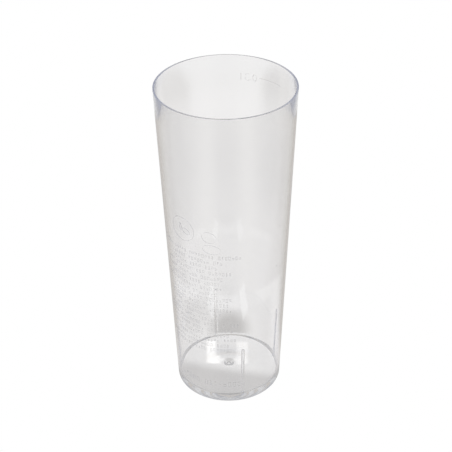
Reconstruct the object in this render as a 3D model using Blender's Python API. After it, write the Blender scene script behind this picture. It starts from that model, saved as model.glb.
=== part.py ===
"""Clear plastic long-drink tumbler, moulded in one piece.

Metres, +Z up. The origin is the middle of the foot, on the surface that the cup stands on.
The cup is a turned profile, with four stacking ribs and a raised fill line joined to its wall.
"""

import math

import bmesh
import bpy

# Driving dimensions
HEIGHT = 0.1522
RIM_DIAMETER = 0.0612
BASE_DIAMETER = 0.0483          # where the outer wall's line would meet the table
WALL_AT_RIM = 0.0009
WALL_AT_FLOOR = 0.0011

# Lip: rounded corners with a narrow flat land between them
LIP_OUTER_RADIUS = 0.00035
LIP_INNER_RADIUS = 0.00035

# Foot and floor
FOOT_CORNER_RADIUS = 0.0016
FOOT_RING_WIDTH = 0.0014        # the flat that touches the table
UNDERSIDE_MIDDLE_HEIGHT = 0.0026
FLOOR_EDGE_HEIGHT = 0.0036
FLOOR_MIDDLE_HEIGHT = 0.0043
FLOOR_CORNER_RADIUS = 0.0020

# Gate mark: a shallow well under the middle of the floor, and a low flat boss above it
GATE_WELL_RADIUS = 0.0014
GATE_WELL_DEPTH = 0.0006
GATE_BOSS_RADIUS = 0.0025
GATE_BOSS_HEIGHT = 0.0008
GATE_STEP = 0.0008              # how far in from its edge the boss reaches its full height

# Stacking ribs on the inside of the wall
RIB_COUNT = 4
RIB_FIRST_ANGLE = math.radians(15)
RIB_TOP_HEIGHT = 0.0311
RIB_RADIUS = 0.0007
RIB_FOOT_HEIGHT = 0.0030        # inside the floor, so that rib and floor join

# Raised fill line on the outside of the wall
FILL_LINE_HEIGHT = 0.1423
FILL_LINE_START = math.radians(38)
FILL_LINE_END = math.radians(60)
FILL_LINE_WIDTH = 0.0005
FILL_LINE_RELIEF = 0.0002
FILL_LINE_ROOT = 0.0004         # how deep it reaches into the wall

# Fineness of the round shapes
SEGMENTS = 80
CORNER_STEPS = 4
FLOOR_STEPS = 6
GATE_STEPS = 3
RIB_SIDES = 12
RIB_TOP_STEPS = 3
FILL_LINE_STEPS = 6

CLEAR_PLASTIC = {
    "Base Color": (0.93, 0.94, 0.95, 1.0),
    "Roughness": 0.05,
    "Metallic": 0.0,
    "IOR": 1.59,
    "Transmission Weight": 1.0,
    "Alpha": 0.35,
}

WALL_SLOPE = (RIM_DIAMETER - BASE_DIAMETER) / 2 / HEIGHT


def outer_radius(z):
    """Radius of the outer wall's line at a height."""
    return BASE_DIAMETER / 2 + WALL_SLOPE * z


def wall_thickness(z):
    """The wall thins evenly from the floor to the rim."""
    return WALL_AT_FLOOR + (WALL_AT_RIM - WALL_AT_FLOOR) * z / HEIGHT


def inner_radius(z):
    """Radius of the inner wall's line at a height."""
    return outer_radius(z) - wall_thickness(z)


def corner(meeting, before, after, radius):
    """Points of the arc that rounds the corner at meeting, between the directions to before and after."""
    to_before = direction(meeting, before)
    to_after = direction(meeting, after)
    cosine = to_before[0] * to_after[0] + to_before[1] * to_after[1]
    half_angle = math.acos(max(-1.0, min(1.0, cosine))) / 2
    reach = radius / math.tan(half_angle)
    middle = (to_before[0] + to_after[0], to_before[1] + to_after[1])
    length = math.hypot(*middle)
    distance = radius / math.sin(half_angle)
    centre = (
        meeting[0] + middle[0] / length * distance,
        meeting[1] + middle[1] / length * distance,
    )
    start = (meeting[0] + to_before[0] * reach, meeting[1] + to_before[1] * reach)
    end = (meeting[0] + to_after[0] * reach, meeting[1] + to_after[1] * reach)
    angle_start = math.atan2(start[1] - centre[1], start[0] - centre[0])
    angle_end = math.atan2(end[1] - centre[1], end[0] - centre[0])
    turn = (angle_end - angle_start + math.pi) % (2 * math.pi) - math.pi
    points = []
    for step in range(CORNER_STEPS + 1):
        angle = angle_start + turn * step / CORNER_STEPS
        points.append((centre[0] + radius * math.cos(angle), centre[1] + radius * math.sin(angle)))
    return points


def direction(start, end):
    """Unit vector from one profile point to another."""
    length = math.hypot(end[0] - start[0], end[1] - start[1])
    return ((end[0] - start[0]) / length, (end[1] - start[1]) / length)


def dome(radius, edge_height, middle_height, at_radius):
    """Height of a shallow dome, level in the middle, at a distance from the axis."""
    share = min(1.0, at_radius / radius)
    return edge_height + (middle_height - edge_height) * 0.5 * (1 + math.cos(math.pi * share))


def boss(at_radius):
    """Height of the gate boss above the floor at a distance from the axis."""
    share = min(1.0, max(0.0, (GATE_BOSS_RADIUS - at_radius) / GATE_STEP))
    return GATE_BOSS_HEIGHT * share * share * (3 - 2 * share)


def cup_profile():
    """Outline (radius, height) of half the cup, from the axis under the floor, round the lip, to the axis above."""
    foot_outer = (outer_radius(0.0), 0.0)
    ring_inner = outer_radius(0.0) - FOOT_CORNER_RADIUS - FOOT_RING_WIDTH
    lip_outer = (outer_radius(HEIGHT), HEIGHT)
    lip_inner = (inner_radius(HEIGHT), HEIGHT)
    floor_corner = (inner_radius(FLOOR_EDGE_HEIGHT), FLOOR_EDGE_HEIGHT)
    floor_radius = floor_corner[0] - FLOOR_CORNER_RADIUS

    def underside(at_radius):
        height = dome(ring_inner, 0.0, UNDERSIDE_MIDDLE_HEIGHT, at_radius)
        return height + dome(GATE_WELL_RADIUS, 0.0, GATE_WELL_DEPTH, at_radius)

    def floor(at_radius):
        return dome(floor_radius, FLOOR_EDGE_HEIGHT, FLOOR_MIDDLE_HEIGHT, at_radius) + boss(at_radius)

    points = []
    for step in range(GATE_STEPS):
        radius = GATE_WELL_RADIUS * step / GATE_STEPS
        points.append((radius, underside(radius)))
    for step in range(FLOOR_STEPS + 1):
        radius = GATE_WELL_RADIUS + (ring_inner - GATE_WELL_RADIUS) * step / FLOOR_STEPS
        points.append((radius, underside(radius)))
    points += corner(foot_outer, (0.0, 0.0), lip_outer, FOOT_CORNER_RADIUS)
    points += corner(lip_outer, foot_outer, lip_inner, LIP_OUTER_RADIUS)
    points += corner(lip_inner, lip_outer, floor_corner, LIP_INNER_RADIUS)
    points += corner(floor_corner, lip_inner, (0.0, FLOOR_EDGE_HEIGHT), FLOOR_CORNER_RADIUS)
    for step in range(1, FLOOR_STEPS + 1):
        radius = floor_radius + (GATE_BOSS_RADIUS - floor_radius) * step / FLOOR_STEPS
        points.append((radius, floor(radius)))
    for step in range(1, GATE_STEPS + 1):
        radius = GATE_BOSS_RADIUS - GATE_STEP * step / GATE_STEPS
        points.append((radius, floor(radius)))
    points.append((0.0, floor(0.0)))
    return points


def object_from(name, mesh_maker):
    """New scene object whose mesh is filled by mesh_maker, with its faces pointing out."""
    mesh = bpy.data.meshes.new(name)
    shape = bmesh.new()
    mesh_maker(shape)
    bmesh.ops.recalc_face_normals(shape, faces=shape.faces)
    shape.to_mesh(mesh)
    shape.free()
    piece = bpy.data.objects.new(name, mesh)
    bpy.context.collection.objects.link(piece)
    return piece


def turn_cup(shape):
    """The profile spun once round the Z axis."""
    corners = [shape.verts.new((radius, 0.0, height)) for radius, height in cup_profile()]
    edges = [shape.edges.new(pair) for pair in zip(corners, corners[1:])]
    bmesh.ops.spin(
        shape,
        geom=corners + edges,
        cent=(0.0, 0.0, 0.0),
        axis=(0.0, 0.0, 1.0),
        angle=2 * math.pi,
        steps=SEGMENTS,
        use_merge=True,
    )
    bmesh.ops.remove_doubles(shape, verts=shape.verts, dist=1e-6)


def build_ribs(shape):
    """Four round ribs, half sunk in the inner wall, each with a domed top."""
    levels = [(RIB_FOOT_HEIGHT, RIB_RADIUS)]
    for step in range(RIB_TOP_STEPS + 1):
        angle = 0.5 * math.pi * step / (RIB_TOP_STEPS + 0.5)
        levels.append((RIB_TOP_HEIGHT - RIB_RADIUS * (1 - math.sin(angle)), RIB_RADIUS * math.cos(angle)))
    for number in range(RIB_COUNT):
        around = RIB_FIRST_ANGLE + 2 * math.pi * number / RIB_COUNT
        rings = []
        for height, radius in levels:
            axis_radius = inner_radius(height)
            ring = []
            for side in range(RIB_SIDES):
                angle = 2 * math.pi * side / RIB_SIDES
                out = axis_radius + radius * math.cos(angle)
                across = radius * math.sin(angle)
                x = out * math.cos(around) - across * math.sin(around)
                y = out * math.sin(around) + across * math.cos(around)
                ring.append(shape.verts.new((x, y, height)))
            rings.append(ring)
        join_rings(shape, rings)


def build_fill_line(shape):
    """A short level bar that follows the outer wall."""
    sections = []
    for step in range(FILL_LINE_STEPS + 1):
        angle = FILL_LINE_START + (FILL_LINE_END - FILL_LINE_START) * step / FILL_LINE_STEPS
        section = []
        for side_out, side_up in ((0, -1), (1, -1), (1, 1), (0, 1)):
            height = FILL_LINE_HEIGHT + side_up * FILL_LINE_WIDTH / 2
            radius = outer_radius(height) + (FILL_LINE_RELIEF if side_out else -FILL_LINE_ROOT)
            section.append(shape.verts.new((radius * math.cos(angle), radius * math.sin(angle), height)))
        sections.append(section)
    join_rings(shape, sections)


def join_rings(shape, rings):
    """Close a row of equal rings into one solid, with a cap at each end."""
    for ring, following in zip(rings, rings[1:]):
        for side in range(len(ring)):
            after = (side + 1) % len(ring)
            shape.faces.new((ring[side], ring[after], following[after], following[side]))
    shape.faces.new(rings[0])
    shape.faces.new(rings[-1])


def hide_guide(piece):
    """A shape that only feeds a Boolean."""
    piece.hide_render = True
    piece.display_type = "WIRE"


def join_to(piece, addition):
    """Boolean union that makes the addition part of the piece."""
    modifier = piece.modifiers.new(addition.name, "BOOLEAN")
    modifier.operation = "UNION"
    modifier.solver = "EXACT"
    modifier.object = addition
    hide_guide(addition)


def clear_plastic():
    """See-through, hard, glossy plastic."""
    material = bpy.data.materials.new("clear_plastic")
    material.use_nodes = True
    shader = material.node_tree.nodes["Principled BSDF"]
    for socket, value in CLEAR_PLASTIC.items():
        shader.inputs[socket].default_value = value
    return material


def main():
    for leftover in list(bpy.data.objects):
        bpy.data.objects.remove(leftover, do_unlink=True)
    tumbler = object_from("tumbler", turn_cup)
    tumbler.data.materials.append(clear_plastic())
    tumbler.data.shade_smooth()
    tumbler.data.set_sharp_from_angle(angle=math.radians(35))
    join_to(tumbler, object_from("rib_guide", build_ribs))
    join_to(tumbler, object_from("fill_line_guide", build_fill_line))


main()
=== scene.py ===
"""Looks for the clear plastic tumbler: a finely turned cup with its ribs, fill line and raised marks."""

import math
import random

import bmesh
import bpy
import numpy as np
from mathutils import Matrix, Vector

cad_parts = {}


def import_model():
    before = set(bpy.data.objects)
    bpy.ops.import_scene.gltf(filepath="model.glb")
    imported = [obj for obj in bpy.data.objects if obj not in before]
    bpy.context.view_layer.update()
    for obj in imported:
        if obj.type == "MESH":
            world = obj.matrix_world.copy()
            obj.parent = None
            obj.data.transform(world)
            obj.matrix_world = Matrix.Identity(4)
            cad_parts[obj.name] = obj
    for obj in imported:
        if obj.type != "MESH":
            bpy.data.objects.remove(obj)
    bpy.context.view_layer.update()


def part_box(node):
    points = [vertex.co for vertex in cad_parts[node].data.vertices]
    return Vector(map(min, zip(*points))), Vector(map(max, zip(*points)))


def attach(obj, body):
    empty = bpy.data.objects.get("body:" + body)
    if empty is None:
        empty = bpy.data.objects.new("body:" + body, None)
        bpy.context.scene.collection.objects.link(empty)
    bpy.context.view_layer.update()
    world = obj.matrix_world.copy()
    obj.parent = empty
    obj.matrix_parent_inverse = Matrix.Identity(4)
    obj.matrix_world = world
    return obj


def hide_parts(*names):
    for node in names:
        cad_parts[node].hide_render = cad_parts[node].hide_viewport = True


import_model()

# The height comes from the frame. The other sizes here are the part's own, except RIB_RISE
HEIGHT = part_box("tumbler")[1].z
RIM_RADIUS = 0.0306
BASE_RADIUS = 0.02415
WALL_AT_RIM = 0.0009
WALL_AT_FLOOR = 0.0011
LIP_RADIUS = 0.00035
FOOT_CORNER_RADIUS = 0.0016
FOOT_RING_WIDTH = 0.0014
UNDERSIDE_MIDDLE_HEIGHT = 0.0026
FLOOR_EDGE_HEIGHT = 0.0036
FLOOR_MIDDLE_HEIGHT = 0.0043
FLOOR_CORNER_RADIUS = 0.0020
GATE_WELL_RADIUS = 0.0014
GATE_WELL_DEPTH = 0.0006
GATE_BOSS_RADIUS = 0.0025
GATE_BOSS_HEIGHT = 0.0008
GATE_STEP = 0.0008              # how far in from its edge the boss reaches its full height
RIB_COUNT = 4
RIB_FIRST_ANGLE = math.radians(15)
RIB_TOP_HEIGHT = 0.0311
RIB_RADIUS = 0.0007
RIB_RISE = 0.00056              # the ribs are a little flatter than half round

WALL_SLOPE = (RIM_RADIUS - BASE_RADIUS) / HEIGHT
WALL_FROM = 0.0020              # the outer wall is a plain cone between these heights
WALL_TO = HEIGHT - 0.0006
WALL_TOLERANCE = 0.000015       # the wall's flats lie this close to the true cone
SHARP_ANGLE = math.radians(30)

# How the ribs blend into the wall and the floor
RIB_BLEND = 1.6                 # the blend ends this many rib radii from the rib's axis
RIB_BLEND_RISE = 0.10
RIB_LEVEL = 2 * RIB_RADIUS      # the profile is fine this far above and below the rib tops
RIB_REACH_IN = 1.6 * FLOOR_CORNER_RADIUS  # how far in from the wall the floor takes part in the ribs

# Fineness: flats round the cup, and steps along its profile
SEGMENTS = 240
RIB_SEGMENTS = 16               # extra flats on each side of a rib's middle
RIB_SEGMENT_ANGLE = math.radians(0.2)
LEAST_ANGLE = math.radians(0.08)
WELL_STEPS = 8
UNDERSIDE_STEPS = 18
FOOT_STEPS = 10
OUTER_WALL_STEPS = 12
LIP_STEPS = 8
INNER_WALL_STEPS = 10
RIB_TOP_STEPS = 26
RIB_FOOT_STEPS = 6
FLOOR_CORNER_STEPS = 12
FLOOR_STEPS = 18
BOSS_STEPS = 20

# Raised marks on the outer wall; azimuths in degrees from +X, heights and sizes of rows in mm
MM = 0.001
MARK_ROOT = 0.0003              # how deep a mark reaches into the wall
MARK_RELIEF = 0.00009
MARK_FLAT = 0.55                # the share of a stroke's width that is level on top
MARK_EDGE = 0.3                 # the share of its relief that a stroke has at its edges
FILL_HEIGHT = 142.3
FILL_START = 38
FILL_END = 60
FILL_STROKE = 0.0005
FILL_RELIEF = 0.00012
NUMERAL_STROKE = 0.0004
ROW_ENDS = (
    -79, -96, -101, -88, -96, -99, -97, -102, -88, -91,
    -88, -98, -100, -81, -87, -91, -84, -91, -88,
)
ROW_START = -152
ROW_TOP = 83.5
ROW_PITCH = 2.9
ROW_SEED = 11
ROW_LEAST_RELIEF = 0.6          # at the rows' far end, as a share of MARK_RELIEF
ROW_FADE = 50                   # degrees over which the rows' relief grows by MARK_RELIEF
BOX_HEIGHT = 1.6
BOX_STROKE = 0.00028
BOX_PITCH = 1.5
BOX_GROUPS = (3, 4, 5, 7, 8)
BOX_HALF_WIDTHS = (0.10, 0.22, 0.26)
FOOT_ROW = 10.9
FOOT_BOX_HEIGHT = 2.4
FOOT_BOX_SCALE = 1.5
RING_STROKE = 0.0003
SPECKS = ((-37.0, 93.0), (-38.0, 72.0))
SPECK_REACH = 0.2               # half a speck's length in mm
SPECK_WIDTH = 0.0005
SPECK_RELIEF = 0.00018

# The plastic; noise scales are in waves per metre
PLASTIC_TINT = (0.935, 0.935, 0.935)
PLASTIC_IOR = 1.59
DULL_SCALE = (220.0, 220.0, 150.0)
DULL_FROM = (0.56, 0.72)
DULL_ROUGHNESS = 0.04
WAVE_SCALE = (70.0, 70.0, 16.0)
WAVE_HEIGHT = 0.00002
SCUFF_SCALE = (900.0, 900.0, 240.0)
SCUFF_FROM = (0.66, 0.74)
SCUFF_HEIGHT = 0.15             # as a share of the waves' height
DEPTH_COLOUR = (0.0, 0.1, 0.5)
DEPTH_DENSITY = 0.7

# Painted shadows, painted shade and painted caustics lie on the table below, seen only through the cup.
# The table and the sky as seen through the cup. A span is where a tone starts and where it is full;
# a place is an oval's middle and half sizes, or two opposite corners of a rectangle.
WHITE = (1.0, 1.0, 1.0)
THROUGH = (0.964, 0.957, 0.958)
THROUGH_SKY = (0.50, 0.505, 0.53)
THROUGH_FAR = (0.915, 0.912, 0.910)
THROUGH_SIDE = (0.825, 0.815, 0.810)
CLOSE_SPAN = (0.38, 0.46)       # beyond it there are no far and side tones
FAR_SPAN = (0.27, 0.36)
SIDE_SPAN = (0.23, 0.32)
SIDE_SLANT = (0.029, 0.043)     # the side tones lie outside two lines that meet below the camera
SLANT_FROM = 0.467              # how far in front of the axis they meet
# Painted shadow: a paler left wing of the cup's shadow on the table behind it, seen through the cup
THROUGH_LEFT_SHADOW = (0.885, 0.875, 0.875)
LEFT_SHADOW_PLACE = ((-0.018, 0.046), (0.011, 0.016))
THROUGH_SHADOW = (0.62, 0.61, 0.605)
SHADOW_PLACE = ((0.0005, 0.034), (0.011, 0.015))
SHADOW_SPAN = (0.0255, 0.028)
# Painted shadow on the table under the front of the foot, seen through the cup
THROUGH_UNDER_SHADOW = (0.66, 0.65, 0.65)
UNDER_SHADOW_REACH = (0.0225, 0.026)
UNDER_SHADOW_SPAN = (-0.006, 0.003)
UNDER_SHADOW_SLOPE = 0.25
THROUGH_CAUSTIC = (1.36, 1.35, 1.34)
THROUGH_SOFT_CAUSTIC = (1.20, 1.19, 1.185)
CAUSTICS = (
    (THROUGH_CAUSTIC, (-0.0110, 0.0040), (-0.0065, 0.0200)),
    (THROUGH_CAUSTIC, (-0.0085, 0.0040), (-0.0045, 0.0110)),
    (THROUGH_SOFT_CAUSTIC, (0.0040, 0.0030), (0.0095, 0.0190)),
    (THROUGH_SOFT_CAUSTIC, (-0.0060, 0.0060), (0.0060, 0.0085)),
)
# Painted shade: a darker patch of the table under the gate, seen through the floor
THROUGH_GATE_SHADE = (0.72, 0.71, 0.70)
GATE_SHADE_PLACE = ((0.0002, 0.0070), (0.0026, 0.0026))

# Painted reflections: the table and the sky show the tones below only to rays mirrored in the cup.
# The table and the sky as mirrored in the cup. Rings give the distances from the axis over which a
# tone takes over; turns are angles round the axis from the camera's side, in radians.
MIRROR_UNDER = (0.40, 0.39, 0.385)
MIRROR_BESIDE = (1.00, 0.98, 0.99)
BESIDE_RIGHT = (0.020, 0.050)
BESIDE_LEFT = (-0.050, -0.020)
BESIDE_LEFT_SHARE = 0.4
BESIDE_SPAN = (-0.020, 0.0)
MIRROR_INNER = (0.65, 0.63, 0.62)
INNER_RING = (0.024, 0.028)
MIRROR_BRIGHT = (1.0, 0.98, 0.97)
BRIGHT_RING = (0.0865, 0.0900)
MIRROR_NEAR = (0.63, 0.60, 0.59)
NEAR_RING = (0.098, 0.101)
MIRROR_ARC = (0.46, 0.44, 0.43)
ARC_PLACE = ((0.003, -0.106), (0.045, 0.009))
MIRROR_MIDDLE = (0.425, 0.40, 0.385)
MIDDLE_RING = (0.13, 0.19)
MIRROR_FAR = (0.62, 0.59, 0.55)
FAR_RING = (0.225, 0.29)
MIRROR_LEFT = (0.35, 0.33, 0.32)
LEFT_FROM = (0.11, 0.17)
LEFT_NEAR_EDGE = (-0.13, -0.05)
LEFT_FAR_EDGE = (0.05, 0.13)
MIRROR_LOBE = (0.84, 0.81, 0.77)
LOBE_TURN_IN = (0.15, 0.60)
LOBE_TURN_OUT = (0.70, 1.15)
LOBE_SHARE = 0.7
MIRROR_EDGE = (0.60, 0.575, 0.55)
EDGE_TURN = (1.75, 2.15)
MIRROR_ROOM = (0.95, 0.95, 0.96)
ROOM_RING = (0.36, 0.45)
MIRROR_BEHIND = (0.98, 0.97, 0.95)
BEHIND_TURN = (2.20, 2.50)
BEHIND_RING = (0.265, 0.285)
MIRROR_DISTANT = (0.62, 0.61, 0.605)
DISTANT_RING = (0.7, 1.2)
# Painted pools of light on the table in front of the cup, seen only in its mirror
MIRROR_LIGHT_POOL = (1.45, 1.45, 1.43)
LIGHT_POOLS = (
    ((-0.055, -0.096), (-0.036, -0.071)),
    ((0.034, -0.096), (0.051, -0.071)),
)
PATCH_EDGE = 0.001
BLOB_EDGE = (0.4, 1.3)
MIRROR_LOW_SKY = (0.48, 0.495, 0.54)
LOW_SKY_RISE = (0.12, 0.24)
MIRROR_HIGH_SKY = (0.72, 0.72, 0.725)
HIGH_SKY_RISE = (0.45, 0.65)

# The floor, the camera at the photo's viewing angle, and the light paths
FLOOR_RADIUS = 30.0
FLOOR_SEGMENTS = 64
FLOOR_DROP = 0.0002
CAMERA_PLACE = (0.0, -0.4668, 0.3836)
CAMERA_LENS = 98.88
CAMERA_SENSOR = 36
CAMERA_PITCH = math.radians(32.843)
CAMERA_ROLL = math.radians(-0.7423)
CAMERA_YAW = math.radians(0.0710)
BOUNCES = 400                   # light runs a long way inside the thin wall


def outer_radius(z):
    """Radius of the outer wall's line at a height."""
    return BASE_RADIUS + WALL_SLOPE * z


def inner_radius(z):
    """Radius of the inner wall's line at a height."""
    return outer_radius(z) - (WALL_AT_FLOOR + (WALL_AT_RIM - WALL_AT_FLOOR) * z / HEIGHT)


def direction(start, end):
    """Unit vector from one point to another."""
    length = math.hypot(end[0] - start[0], end[1] - start[1])
    return ((end[0] - start[0]) / length, (end[1] - start[1]) / length)


def corner(meeting, before, after, radius, steps):
    """Points of the arc that rounds the corner at meeting, between the directions to before and after."""
    to_before = direction(meeting, before)
    to_after = direction(meeting, after)
    cosine = to_before[0] * to_after[0] + to_before[1] * to_after[1]
    half_angle = math.acos(max(-1.0, min(1.0, cosine))) / 2
    reach = radius / math.tan(half_angle)
    middle = (to_before[0] + to_after[0], to_before[1] + to_after[1])
    length = math.hypot(*middle)
    distance = radius / math.sin(half_angle)
    centre = (meeting[0] + middle[0] / length * distance, meeting[1] + middle[1] / length * distance)
    start = (meeting[0] + to_before[0] * reach, meeting[1] + to_before[1] * reach)
    end = (meeting[0] + to_after[0] * reach, meeting[1] + to_after[1] * reach)
    angle_start = math.atan2(start[1] - centre[1], start[0] - centre[0])
    angle_end = math.atan2(end[1] - centre[1], end[0] - centre[0])
    turn = (angle_end - angle_start + math.pi) % (2 * math.pi) - math.pi
    points = []
    for step in range(steps + 1):
        angle = angle_start + turn * step / steps
        points.append((centre[0] + radius * math.cos(angle), centre[1] + radius * math.sin(angle)))
    return points


def dome(radius, edge_height, middle_height, at_radius):
    """Height of a shallow dome, level in the middle, at a distance from the axis."""
    share = min(1.0, at_radius / radius)
    return edge_height + (middle_height - edge_height) * 0.5 * (1 + math.cos(math.pi * share))


def boss(at_radius):
    """Height of the gate boss above the floor at a distance from the axis."""
    share = min(1.0, max(0.0, (GATE_BOSS_RADIUS - at_radius) / GATE_STEP))
    return GATE_BOSS_HEIGHT * share * share * (3 - 2 * share)


def line(start, end, steps):
    """Points between start and end, both left out."""
    return [
        (start[0] + (end[0] - start[0]) * k / steps, start[1] + (end[1] - start[1]) * k / steps)
        for k in range(1, steps)
    ]


def cup_profile():
    """Half the outline (radius, height), from the axis under the floor, round the lip, to the axis above."""
    foot_outer = (BASE_RADIUS, 0.0)
    ring_inner = BASE_RADIUS - FOOT_CORNER_RADIUS - FOOT_RING_WIDTH
    lip_outer = (outer_radius(HEIGHT), HEIGHT)
    lip_inner = (inner_radius(HEIGHT), HEIGHT)
    floor_corner = (inner_radius(FLOOR_EDGE_HEIGHT), FLOOR_EDGE_HEIGHT)
    floor_radius = floor_corner[0] - FLOOR_CORNER_RADIUS

    def underside(at_radius):
        height = dome(ring_inner, 0.0, UNDERSIDE_MIDDLE_HEIGHT, at_radius)
        return height + dome(GATE_WELL_RADIUS, 0.0, GATE_WELL_DEPTH, at_radius)

    def floor(at_radius):
        height = dome(floor_radius, FLOOR_EDGE_HEIGHT, FLOOR_MIDDLE_HEIGHT, at_radius)
        return height + boss(at_radius)

    points = []
    for step in range(WELL_STEPS):
        radius = GATE_WELL_RADIUS * step / WELL_STEPS
        points.append((radius, underside(radius)))
    for step in range(UNDERSIDE_STEPS + 1):
        radius = GATE_WELL_RADIUS + (ring_inner - GATE_WELL_RADIUS) * step / UNDERSIDE_STEPS
        points.append((radius, underside(radius)))
    foot_arc = corner(foot_outer, (0.0, 0.0), lip_outer, FOOT_CORNER_RADIUS, FOOT_STEPS)
    lip_outer_arc = corner(lip_outer, foot_outer, lip_inner, LIP_RADIUS, LIP_STEPS)
    lip_inner_arc = corner(lip_inner, lip_outer, floor_corner, LIP_RADIUS, LIP_STEPS)
    floor_middle = (0.0, FLOOR_EDGE_HEIGHT)
    floor_arc = corner(floor_corner, lip_inner, floor_middle, FLOOR_CORNER_RADIUS, FLOOR_CORNER_STEPS)
    points += foot_arc
    points += line(foot_arc[-1], lip_outer_arc[0], OUTER_WALL_STEPS)
    points += lip_outer_arc + lip_inner_arc
    rib_top = (inner_radius(RIB_TOP_HEIGHT + RIB_LEVEL), RIB_TOP_HEIGHT + RIB_LEVEL)
    rib_low = (inner_radius(RIB_TOP_HEIGHT - RIB_LEVEL), RIB_TOP_HEIGHT - RIB_LEVEL)
    points += line(lip_inner_arc[-1], rib_top, INNER_WALL_STEPS)
    points += [rib_top] + line(rib_top, rib_low, RIB_TOP_STEPS) + [rib_low]
    points += line(rib_low, floor_arc[0], RIB_FOOT_STEPS)
    points += floor_arc
    for step in range(1, FLOOR_STEPS + 1):
        radius = floor_radius + (GATE_BOSS_RADIUS - floor_radius) * step / FLOOR_STEPS
        points.append((radius, floor(radius)))
    for step in range(BOSS_STEPS - 1, -1, -1):
        radius = GATE_BOSS_RADIUS * step / BOSS_STEPS
        points.append((radius, floor(radius)))
    return points


def rib_angles():
    """Angle of each rib round the cup."""
    return [RIB_FIRST_ANGLE + 2 * math.pi * k / RIB_COUNT for k in range(RIB_COUNT)]


def angles_round():
    """Angles round the cup, close together across each rib."""
    found = set()
    for k in range(SEGMENTS):
        found.add(round(2 * math.pi * k / SEGMENTS, 6))
    for rib in rib_angles():
        for k in range(-RIB_SEGMENTS, RIB_SEGMENTS + 1):
            found.add(round((rib + RIB_SEGMENT_ANGLE * k) % (2 * math.pi), 6))
    values = sorted(found)
    kept = [values[0]]
    for value in values[1:]:
        if value - kept[-1] > LEAST_ANGLE:
            kept.append(value)
    return kept


def rib_rise(angle, radius, height):
    """How far a rib stands out of the inner wall at a point on it."""
    best = 0.0
    for rib in rib_angles():
        across = (angle - rib + math.pi) % (2 * math.pi) - math.pi
        sideways = across * radius
        above = max(0.0, height - (RIB_TOP_HEIGHT - RIB_RADIUS))
        away = math.hypot(sideways, above) / RIB_RADIUS
        if away < RIB_BLEND:
            core = RIB_RISE * math.sqrt(max(0.0, 1 - min(1.0, away) ** 2))
            soft = RIB_BLEND_RISE * RIB_RADIUS * max(0.0, RIB_BLEND - away) ** 2
            best = max(best, math.hypot(core, soft))
    return best


def turn_cup():
    """The cup, turned from its profile, with the ribs raised out of its inner wall."""
    profile = cup_profile()
    angles = angles_round()
    shape = bmesh.new()
    rings = []
    peak = max(range(len(profile)), key=lambda k: profile[k][1])
    for index, (radius, height) in enumerate(profile):
        if radius < 1e-7:
            rings.append([shape.verts.new((0.0, 0.0, height))])
            continue
        ring = []
        inside = index > peak and radius > BASE_RADIUS - WALL_AT_FLOOR - RIB_REACH_IN
        for angle in angles:
            r, z = radius, height
            if inside and height < RIB_TOP_HEIGHT + RIB_LEVEL:
                before = profile[index - 1]
                after = profile[index + 1]
                along = direction(before, after)
                normal = (along[1], -along[0])
                level = min(1.0, max(0.0, (height - FLOOR_EDGE_HEIGHT) / FLOOR_CORNER_RADIUS))
                rise = rib_rise(angle, radius, height) * level ** 0.5
                r += normal[0] * rise
                z += normal[1] * rise
            ring.append(shape.verts.new((r * math.cos(angle), r * math.sin(angle), z)))
        rings.append(ring)
    for ring, following in zip(rings, rings[1:]):
        count = max(len(ring), len(following))
        for k in range(count):
            after = (k + 1) % count
            if len(ring) == 1:
                shape.faces.new((ring[0], following[after], following[k]))
            elif len(following) == 1:
                shape.faces.new((ring[k], ring[after], following[0]))
            else:
                shape.faces.new((ring[k], ring[after], following[after], following[k]))
    bmesh.ops.recalc_face_normals(shape, faces=shape.faces)
    mesh = bpy.data.meshes.new("clear_tumbler")
    shape.to_mesh(mesh)
    shape.free()
    cup = bpy.data.objects.new("clear_tumbler", mesh)
    bpy.context.collection.objects.link(cup)
    return cup


def wall_point(angle, height, out):
    """Point on the outer wall's cone, raised by out along the wall's normal."""
    lean = math.atan(WALL_SLOPE)
    radius = outer_radius(height) + out * math.cos(lean)
    return (radius * math.cos(angle), radius * math.sin(angle), height - out * math.sin(lean))


def stroke(shape, path, width, relief=MARK_RELIEF, closed=False):
    """Raised stroke along a path of (azimuth in degrees, height in mm) on the outer wall."""
    flat = [(math.radians(azimuth) * outer_radius(height * MM), height * MM) for azimuth, height in path]
    count = len(flat)
    sections = []
    for index, (along, height) in enumerate(flat):
        if closed:
            before, after = flat[index - 1], flat[(index + 1) % count]
        else:
            before, after = flat[max(0, index - 1)], flat[min(count - 1, index + 1)]
        heading = direction(before, after)
        side = (-heading[1], heading[0])
        section = []
        for reach, out in ((-1.0, -MARK_ROOT), (-1.0, MARK_EDGE * relief), (-MARK_FLAT, relief),
                           (MARK_FLAT, relief), (1.0, MARK_EDGE * relief), (1.0, -MARK_ROOT)):
            u = along + side[0] * reach * width / 2
            z = height + side[1] * reach * width / 2
            section.append(shape.verts.new(wall_point(u / outer_radius(height), z, out)))
        sections.append(section)
    pairs = list(zip(sections, sections[1:]))
    if closed:
        pairs.append((sections[-1], sections[0]))
    for section, following in pairs:
        for k in range(len(section)):
            after = (k + 1) % len(section)
            shape.faces.new((section[k], section[after], following[after], following[k]))
    if not closed:
        shape.faces.new(sections[0])
        shape.faces.new(sections[-1])


def oval(centre, across, tall, tilt=0.0, start=0.0, end=360.0, steps=40):
    """Path of an oval, or of part of one; sizes in mm, angles in degrees."""
    azimuth, height = centre
    around = outer_radius(height * MM) / MM
    path = []
    whole = end - start >= 360
    for step in range(steps if whole else steps + 1):
        angle = math.radians(start + (end - start) * step / steps)
        u = across / 2 * math.cos(angle)
        v = tall / 2 * math.sin(angle)
        turn = math.radians(tilt)
        path.append((
            azimuth + math.degrees((u * math.cos(turn) - v * math.sin(turn)) / around),
            height + u * math.sin(turn) + v * math.cos(turn),
        ))
    return path


def level(start, end, height, steps):
    """Path of a level line between two azimuths in degrees."""
    return [(start + (end - start) * k / steps, height) for k in range(steps + 1)]


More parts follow.
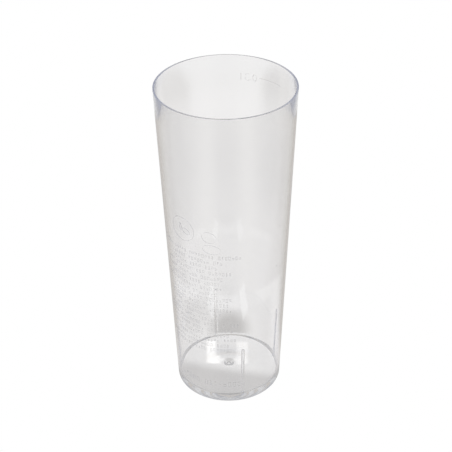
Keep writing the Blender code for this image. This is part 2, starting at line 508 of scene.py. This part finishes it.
def fill_mark(shape):
    """The fill line with the number 0.3 and a plain stroke for the litre."""
    stroke(shape, level(FILL_START, FILL_END, FILL_HEIGHT, 12), FILL_STROKE, FILL_RELIEF)
    stroke(shape, oval((64.6, 142.0), 1.9, 3.0, steps=24), NUMERAL_STROKE, FILL_RELIEF, closed=True)
    stroke(shape, level(67.6, 68.5, 140.75, 2), FILL_STROKE, FILL_RELIEF)
    stroke(shape, oval((71.2, 142.85), 1.7, 1.5, start=150, end=-40, steps=12), NUMERAL_STROKE, FILL_RELIEF)
    stroke(shape, oval((71.2, 141.20), 1.9, 1.7, start=40, end=-150, steps=12), NUMERAL_STROKE, FILL_RELIEF)
    stroke(shape, [(76.8, 140.5), (76.8, 142.0), (76.8, 143.6)], NUMERAL_STROKE, FILL_RELIEF)


def box_rows(shape):
    """Rows of small plain boxes in groups, where a moulded note about the material would stand."""
    chance = random.Random(ROW_SEED)
    rows = [(ROW_TOP - ROW_PITCH * row, end, BOX_HEIGHT, 1.0) for row, end in enumerate(ROW_ENDS)]
    rows.append((FOOT_ROW, ROW_ENDS[0], FOOT_BOX_HEIGHT, FOOT_BOX_SCALE))
    for height, azimuth, tall, scale in rows:
        pitch = math.degrees(BOX_PITCH * scale / (outer_radius(height * MM) / MM))
        while azimuth > ROW_START:
            for _ in range(chance.choice(BOX_GROUPS)):
                half = chance.choice(BOX_HALF_WIDTHS) * pitch
                top = chance.choice((0.5, 0.5, 0.5, 0.0)) * tall
                low = chance.choice((-0.5, -0.5, -0.5, -0.1)) * tall if top > 0 else -0.5 * tall
                corners = ((-half, low), (-half, top), (half, top), (half, low))
                relief = MARK_RELIEF * (ROW_LEAST_RELIEF + (azimuth - ROW_START) / ROW_FADE)
                stroke(shape, [(azimuth + across, height + up) for across, up in corners],
                       BOX_STROKE * scale, relief, closed=True)
                azimuth -= pitch
            azimuth -= pitch


def rings(shape):
    """A ring round two ovals, and two ovals beside it, where two moulded pictograms would stand."""
    stroke(shape, oval((-133.5, 94.4), 12.4, 11.8, steps=48), RING_STROKE, closed=True)
    stroke(shape, oval((-135.5, 95.3), 1.2, 3.4, tilt=8, steps=20), RING_STROKE, closed=True)
    stroke(shape, oval((-129.5, 93.8), 4.2, 2.6, tilt=-20, steps=24), RING_STROKE, closed=True)
    stroke(shape, oval((-106.5, 93.6), 6.6, 5.4, tilt=-15, steps=36), RING_STROKE, closed=True)
    stroke(shape, oval((-104.5, 87.4), 8.2, 4.6, tilt=-5, steps=36), RING_STROKE, closed=True)


def specks(shape):
    """Two tiny pips on the right of the wall."""
    for azimuth, height in SPECKS:
        path = [(azimuth, height - SPECK_REACH), (azimuth, height + SPECK_REACH)]
        stroke(shape, path, SPECK_WIDTH, SPECK_RELIEF)


def marks():
    """One object that holds every raised mark, to be joined to the cup."""
    shape = bmesh.new()
    specks(shape)
    fill_mark(shape)
    box_rows(shape)
    rings(shape)
    bmesh.ops.recalc_face_normals(shape, faces=shape.faces)
    mesh = bpy.data.meshes.new("raised_marks_guide")
    shape.to_mesh(mesh)
    shape.free()
    guide = bpy.data.objects.new("raised_marks_guide", mesh)
    bpy.context.collection.objects.link(guide)
    return guide


def add_marks(cup):
    """Join the raised marks to the cup, and keep the wall's shading exactly conical round them."""
    guide = marks()
    modifier = cup.modifiers.new("marks", "BOOLEAN")
    modifier.operation = "UNION"
    modifier.solver = "EXACT"
    modifier.object = guide
    evaluated = cup.evaluated_get(bpy.context.evaluated_depsgraph_get())
    joined = bpy.data.meshes.new_from_object(evaluated)
    cup.modifiers.clear()
    cup.data = joined
    joined.name = "clear_tumbler"
    guide_mesh = guide.data
    bpy.data.objects.remove(guide, do_unlink=True)
    bpy.data.meshes.remove(guide_mesh)
    smooth_walls(joined)


def smooth_walls(mesh):
    """Give the outer wall's faces the normals of its cone."""
    mesh.shade_smooth()
    mesh.set_sharp_from_angle(angle=SHARP_ANGLE)
    points = np.empty(len(mesh.vertices) * 3, dtype=np.float32)
    mesh.vertices.foreach_get("co", points)
    x, y, z = points.reshape(-1, 3).T
    radius = np.maximum(np.hypot(x, y), 1e-6)
    rise = radius - (BASE_RADIUS + WALL_SLOPE * z)
    on_wall = (rise > -WALL_TOLERANCE) & (rise < WALL_TOLERANCE) & (z > WALL_FROM) & (z < WALL_TO)
    lean = math.atan(WALL_SLOPE)
    cone = np.stack((x / radius * math.cos(lean), y / radius * math.cos(lean), z * 0 - math.sin(lean)), 1)
    normals = np.empty(len(mesh.loops) * 3, dtype=np.float32)
    mesh.corner_normals.foreach_get("vector", normals)
    normals = normals.reshape(-1, 3)
    for face in mesh.polygons:
        if all(on_wall[vertex] for vertex in face.vertices):
            for loop in face.loop_indices:
                normals[loop] = cone[mesh.loops[loop].vertex_index]
    mesh.normals_split_custom_set(normals.tolist())


def plastic():
    """Clear polystyrene, faintly grey, with soft flow waves, dulled patches, scuffs and a bluish depth."""
    material = bpy.data.materials.new("clear_plastic_look")
    material.use_nodes = True
    tree = material.node_tree
    shader = tree.nodes["Principled BSDF"]
    shader.inputs["Base Color"].default_value = (*PLASTIC_TINT, 1.0)
    shader.inputs["IOR"].default_value = PLASTIC_IOR
    shader.inputs["Transmission Weight"].default_value = 1.0
    place = tree.nodes.new("ShaderNodeTexCoord").outputs["Object"]
    dulled = noise(tree, place, DULL_SCALE, 5.0)
    tree.links.new(spread(tree, dulled, DULL_FROM, (0.0, DULL_ROUGHNESS)), shader.inputs["Roughness"])
    waves = noise(tree, place, WAVE_SCALE, 2.0)
    scuffs = spread(tree, noise(tree, place, SCUFF_SCALE, 3.0), SCUFF_FROM, (0.0, SCUFF_HEIGHT))
    bump = tree.nodes.new("ShaderNodeBump")
    bump.inputs["Strength"].default_value = 1.0
    bump.inputs["Distance"].default_value = WAVE_HEIGHT
    tree.links.new(math_node(tree, "ADD", waves, scuffs), bump.inputs["Height"])
    tree.links.new(bump.outputs["Normal"], shader.inputs["Normal"])
    depth = tree.nodes.new("ShaderNodeVolumeAbsorption")
    depth.inputs["Color"].default_value = (*DEPTH_COLOUR, 1.0)
    depth.inputs["Density"].default_value = DEPTH_DENSITY
    tree.links.new(depth.outputs["Volume"], tree.nodes["Material Output"].inputs["Volume"])
    return material


def noise(tree, place, scale, detail):
    """Procedural noise over the cup; scale is in waves per metre along each axis."""
    fit = tree.nodes.new("ShaderNodeMapping")
    fit.inputs["Scale"].default_value = scale
    tree.links.new(place, fit.inputs["Vector"])
    node = tree.nodes.new("ShaderNodeTexNoise")
    node.inputs["Scale"].default_value = 1.0
    node.inputs["Detail"].default_value = detail
    tree.links.new(fit.outputs["Vector"], node.inputs["Vector"])
    return node.outputs["Fac"]


def spread(tree, value, source, target):
    """The value carried from one range to another, and held at its ends."""
    node = tree.nodes.new("ShaderNodeMapRange")
    tree.links.new(value, node.inputs["Value"])
    for name, number in zip(("From Min", "From Max", "To Min", "To Max"), (*source, *target)):
        node.inputs[name].default_value = number
    return node.outputs["Result"]


def pick(tree, factor, low, high):
    """Colour from low to high as the factor goes from 0 to 1; low and high are colours or sockets."""
    node = tree.nodes.new("ShaderNodeMix")
    node.data_type = "RGBA"
    tree.links.new(factor, node.inputs["Factor"])
    for name, value in (("A", low), ("B", high)):
        socket = next(s for s in node.inputs if s.name == name and s.type == "RGBA")
        if isinstance(value, bpy.types.NodeSocket):
            tree.links.new(value, socket)
        else:
            socket.default_value = (*value, 1.0)
    return next(s for s in node.outputs if s.type == "RGBA")


def math_node(tree, operation, *values):
    """Result of a Math node; the values are numbers or sockets."""
    node = tree.nodes.new("ShaderNodeMath")
    node.operation = operation
    for socket, value in zip(node.inputs, values):
        if isinstance(value, bpy.types.NodeSocket):
            tree.links.new(value, socket)
        else:
            socket.default_value = value
    return node.outputs[0]


def ramp(tree, value, span):
    """0 below the span, 1 above it, smooth between."""
    node = tree.nodes.new("ShaderNodeMapRange")
    node.interpolation_type = "SMOOTHSTEP"
    tree.links.new(value, node.inputs["Value"])
    node.inputs["From Min"].default_value = span[0]
    node.inputs["From Max"].default_value = span[1]
    return node.outputs["Result"]


def inverse(tree, value):
    """1 where the value is 0, and 0 where it is 1."""
    return math_node(tree, "SUBTRACT", 1.0, value)


def both(tree, first, second):
    """Product of two shares."""
    return math_node(tree, "MULTIPLY", first, second)


def between(tree, value, rise, fall):
    """1 from the end of the span rise to the start of the span fall, 0 outside them."""
    return both(tree, ramp(tree, value, rise), inverse(tree, ramp(tree, value, fall)))


def blob(tree, x, y, centre, size):
    """1 in the middle of an oval patch of the table, 0 outside it, soft between."""
    across = math_node(tree, "DIVIDE", math_node(tree, "SUBTRACT", x, centre[0]), size[0])
    along = math_node(tree, "DIVIDE", math_node(tree, "SUBTRACT", y, centre[1]), size[1])
    squares = [math_node(tree, "POWER", value, 2.0) for value in (across, along)]
    away = math_node(tree, "SQRT", math_node(tree, "ADD", *squares))
    return inverse(tree, ramp(tree, away, BLOB_EDGE))


def patch(tree, x, y, low, high):
    """1 inside a rectangle of the table from the corner low to the corner high, with soft edges."""
    share = 1.0
    for value, start, end in ((x, low[0], high[0]), (y, low[1], high[1])):
        share = both(tree, share, ramp(tree, value, (start - PATCH_EDGE, start + PATCH_EDGE)))
        share = both(tree, share, inverse(tree, ramp(tree, value, (end - PATCH_EDGE, end + PATCH_EDGE))))
    return share


def by_ray(tree, through, mirrored):
    """White where the camera looks past the cup; softer tones where it looks through or by a reflection."""
    ray = tree.nodes.new("ShaderNodeLightPath")
    reflected = math_node(tree, "GREATER_THAN", ray.outputs["Glossy Depth"], 0.5)
    tone = pick(tree, reflected, through, mirrored)
    return pick(tree, ray.outputs["Is Camera Ray"], tone, WHITE)


def table_through(tree, x, y, reach):
    """The table as seen through the cup: painted shadows behind and under it, painted shade under the gate,
    and painted caustics of the light that it gathers under its floor.
    """
    slant = math_node(tree, "DIVIDE", math_node(tree, "ABSOLUTE", x), math_node(tree, "ADD", y, SLANT_FROM))
    close = inverse(tree, ramp(tree, reach, CLOSE_SPAN))
    side = both(tree, ramp(tree, slant, SIDE_SLANT), ramp(tree, y, SIDE_SPAN))
    shadow = both(tree, blob(tree, x, y, *SHADOW_PLACE), ramp(tree, y, SHADOW_SPAN))
    # Painted shadow under the front of the foot
    slope = math_node(tree, "ADD", y, math_node(tree, "MULTIPLY", x, UNDER_SHADOW_SLOPE))
    near_foot = inverse(tree, ramp(tree, reach, UNDER_SHADOW_REACH))
    under = both(tree, near_foot, inverse(tree, ramp(tree, slope, UNDER_SHADOW_SPAN)))
    tone = pick(tree, both(tree, close, ramp(tree, y, FAR_SPAN)), THROUGH, THROUGH_FAR)
    tone = pick(tree, both(tree, close, side), tone, THROUGH_SIDE)
    # Painted shadow: the left wing of the shadow behind the cup
    tone = pick(tree, blob(tree, x, y, *LEFT_SHADOW_PLACE), tone, THROUGH_LEFT_SHADOW)
    tone = pick(tree, shadow, tone, THROUGH_SHADOW)
    tone = pick(tree, under, tone, THROUGH_UNDER_SHADOW)
    for light, low, high in CAUSTICS:
        tone = pick(tree, patch(tree, x, y, low, high), tone, light)
    # Painted shade under the gate
    return pick(tree, blob(tree, x, y, *GATE_SHADE_PLACE), tone, THROUGH_GATE_SHADE)


def table_mirrored(tree, x, y, reach):
    """Painted reflection of the table in the cup: pale near it, darker at the sides, with two painted pools
    of light in front.
    """
    towards = math_node(tree, "MULTIPLY", y, -1.0)
    turned = math_node(tree, "ARCTAN2", math_node(tree, "ABSOLUTE", x), towards)
    beside = math_node(tree, "ADD", ramp(tree, x, BESIDE_RIGHT),
                       both(tree, BESIDE_LEFT_SHARE, inverse(tree, ramp(tree, x, BESIDE_LEFT))))
    left = both(tree, ramp(tree, math_node(tree, "MULTIPLY", x, -1.0), LEFT_FROM),
                between(tree, y, LEFT_NEAR_EDGE, LEFT_FAR_EDGE))
    lobe = both(tree, between(tree, turned, LOBE_TURN_IN, LOBE_TURN_OUT), LOBE_SHARE)
    behind = both(tree, ramp(tree, turned, BEHIND_TURN), ramp(tree, reach, BEHIND_RING))
    tone = pick(tree, ramp(tree, reach, INNER_RING), MIRROR_UNDER, MIRROR_INNER)
    tone = pick(tree, both(tree, beside, ramp(tree, y, BESIDE_SPAN)), tone, MIRROR_BESIDE)
    tone = pick(tree, ramp(tree, reach, BRIGHT_RING), tone, MIRROR_BRIGHT)
    tone = pick(tree, ramp(tree, reach, NEAR_RING), tone, MIRROR_NEAR)
    tone = pick(tree, blob(tree, x, y, *ARC_PLACE), tone, MIRROR_ARC)
    tone = pick(tree, ramp(tree, reach, MIDDLE_RING), tone, MIRROR_MIDDLE)
    tone = pick(tree, ramp(tree, reach, FAR_RING), tone, MIRROR_FAR)
    tone = pick(tree, left, tone, MIRROR_LEFT)
    tone = pick(tree, lobe, tone, MIRROR_LOBE)
    tone = pick(tree, ramp(tree, turned, EDGE_TURN), tone, MIRROR_EDGE)
    tone = pick(tree, ramp(tree, reach, ROOM_RING), tone, MIRROR_ROOM)
    tone = pick(tree, behind, tone, MIRROR_BEHIND)
    tone = pick(tree, ramp(tree, reach, DISTANT_RING), tone, MIRROR_DISTANT)
    # Painted pools of light in front of the cup
    for low, high in LIGHT_POOLS:
        tone = pick(tree, patch(tree, x, y, low, high), tone, MIRROR_LIGHT_POOL)
    return tone


def stage_floor():
    """A wide pale glowing floor just under the foot, whose tones depend on how it is seen: white to the
    camera, with painted shadows, painted caustics and painted reflections through and in the cup.
    """
    mesh = bpy.data.meshes.new("floor")
    shape = bmesh.new()
    bmesh.ops.create_circle(shape, cap_ends=True, segments=FLOOR_SEGMENTS, radius=FLOOR_RADIUS)
    shape.to_mesh(mesh)
    shape.free()
    floor = bpy.data.objects.new("floor", mesh)
    bpy.context.collection.objects.link(floor)
    floor.location = (0, 0, -FLOOR_DROP)
    material = bpy.data.materials.new("pale_floor")
    material.use_nodes = True
    tree = material.node_tree
    tree.nodes.clear()
    place = tree.nodes.new("ShaderNodeTexCoord")
    split = tree.nodes.new("ShaderNodeSeparateXYZ")
    tree.links.new(place.outputs["Object"], split.inputs[0])
    away = tree.nodes.new("ShaderNodeVectorMath")
    away.operation = "LENGTH"
    tree.links.new(place.outputs["Object"], away.inputs[0])
    x, y, reach = split.outputs["X"], split.outputs["Y"], away.outputs["Value"]
    # The floor glows: plain white to the camera, painted shadows, caustics and reflections to rays through
    # or off the cup
    glow = tree.nodes.new("ShaderNodeEmission")
    tones = by_ray(tree, table_through(tree, x, y, reach), table_mirrored(tree, x, y, reach))
    tree.links.new(tones, glow.inputs["Color"])
    out = tree.nodes.new("ShaderNodeOutputMaterial")
    tree.links.new(glow.outputs[0], out.inputs[0])
    mesh.materials.append(material)


def world():
    """A plain pale room, a little darker towards the sky, white to the camera and in painted reflection
    tones where the cup mirrors it.
    """
    made = bpy.data.worlds.new("studio")
    made.use_nodes = True
    bpy.context.scene.world = made
    tree = made.node_tree
    tree.nodes.clear()
    place = tree.nodes.new("ShaderNodeTexCoord")
    split = tree.nodes.new("ShaderNodeSeparateXYZ")
    tree.links.new(place.outputs["Generated"], split.inputs[0])
    height = ramp(tree, split.outputs["Z"], LOW_SKY_RISE)
    through = pick(tree, height, THROUGH, THROUGH_SKY)
    mirrored = pick(tree, height, MIRROR_DISTANT, MIRROR_LOW_SKY)
    mirrored = pick(tree, ramp(tree, split.outputs["Z"], HIGH_SKY_RISE), mirrored, MIRROR_HIGH_SKY)
    sky = tree.nodes.new("ShaderNodeBackground")
    tree.links.new(by_ray(tree, through, mirrored), sky.inputs["Color"])
    out = tree.nodes.new("ShaderNodeOutputWorld")
    tree.links.new(sky.outputs[0], out.inputs[0])


def camera():
    """The camera at the photo's viewing angle."""
    data = bpy.data.cameras.new("camera")
    data.lens = CAMERA_LENS
    data.sensor_width = CAMERA_SENSOR
    cam = bpy.data.objects.new("camera", data)
    bpy.context.collection.objects.link(cam)
    turn = Matrix.Rotation(CAMERA_YAW, 4, "Z")
    aim = Matrix.Rotation(math.pi / 2 - CAMERA_PITCH, 4, "X")
    tilt = Matrix.Rotation(CAMERA_ROLL, 4, "Z")
    cam.matrix_world = Matrix.Translation(CAMERA_PLACE) @ turn @ aim @ tilt
    bpy.context.scene.camera = cam


def main():
    camera()
    cup = turn_cup()
    add_marks(cup)
    cup.data.materials.append(plastic())
    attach(cup, "root")
    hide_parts("tumbler")
    stage_floor()
    world()
    scene = bpy.context.scene
    scene.view_settings.view_transform = "Standard"
    scene.cycles.max_bounces = BOUNCES
    scene.cycles.transmission_bounces = BOUNCES
    scene.cycles.glossy_bounces = BOUNCES


main()
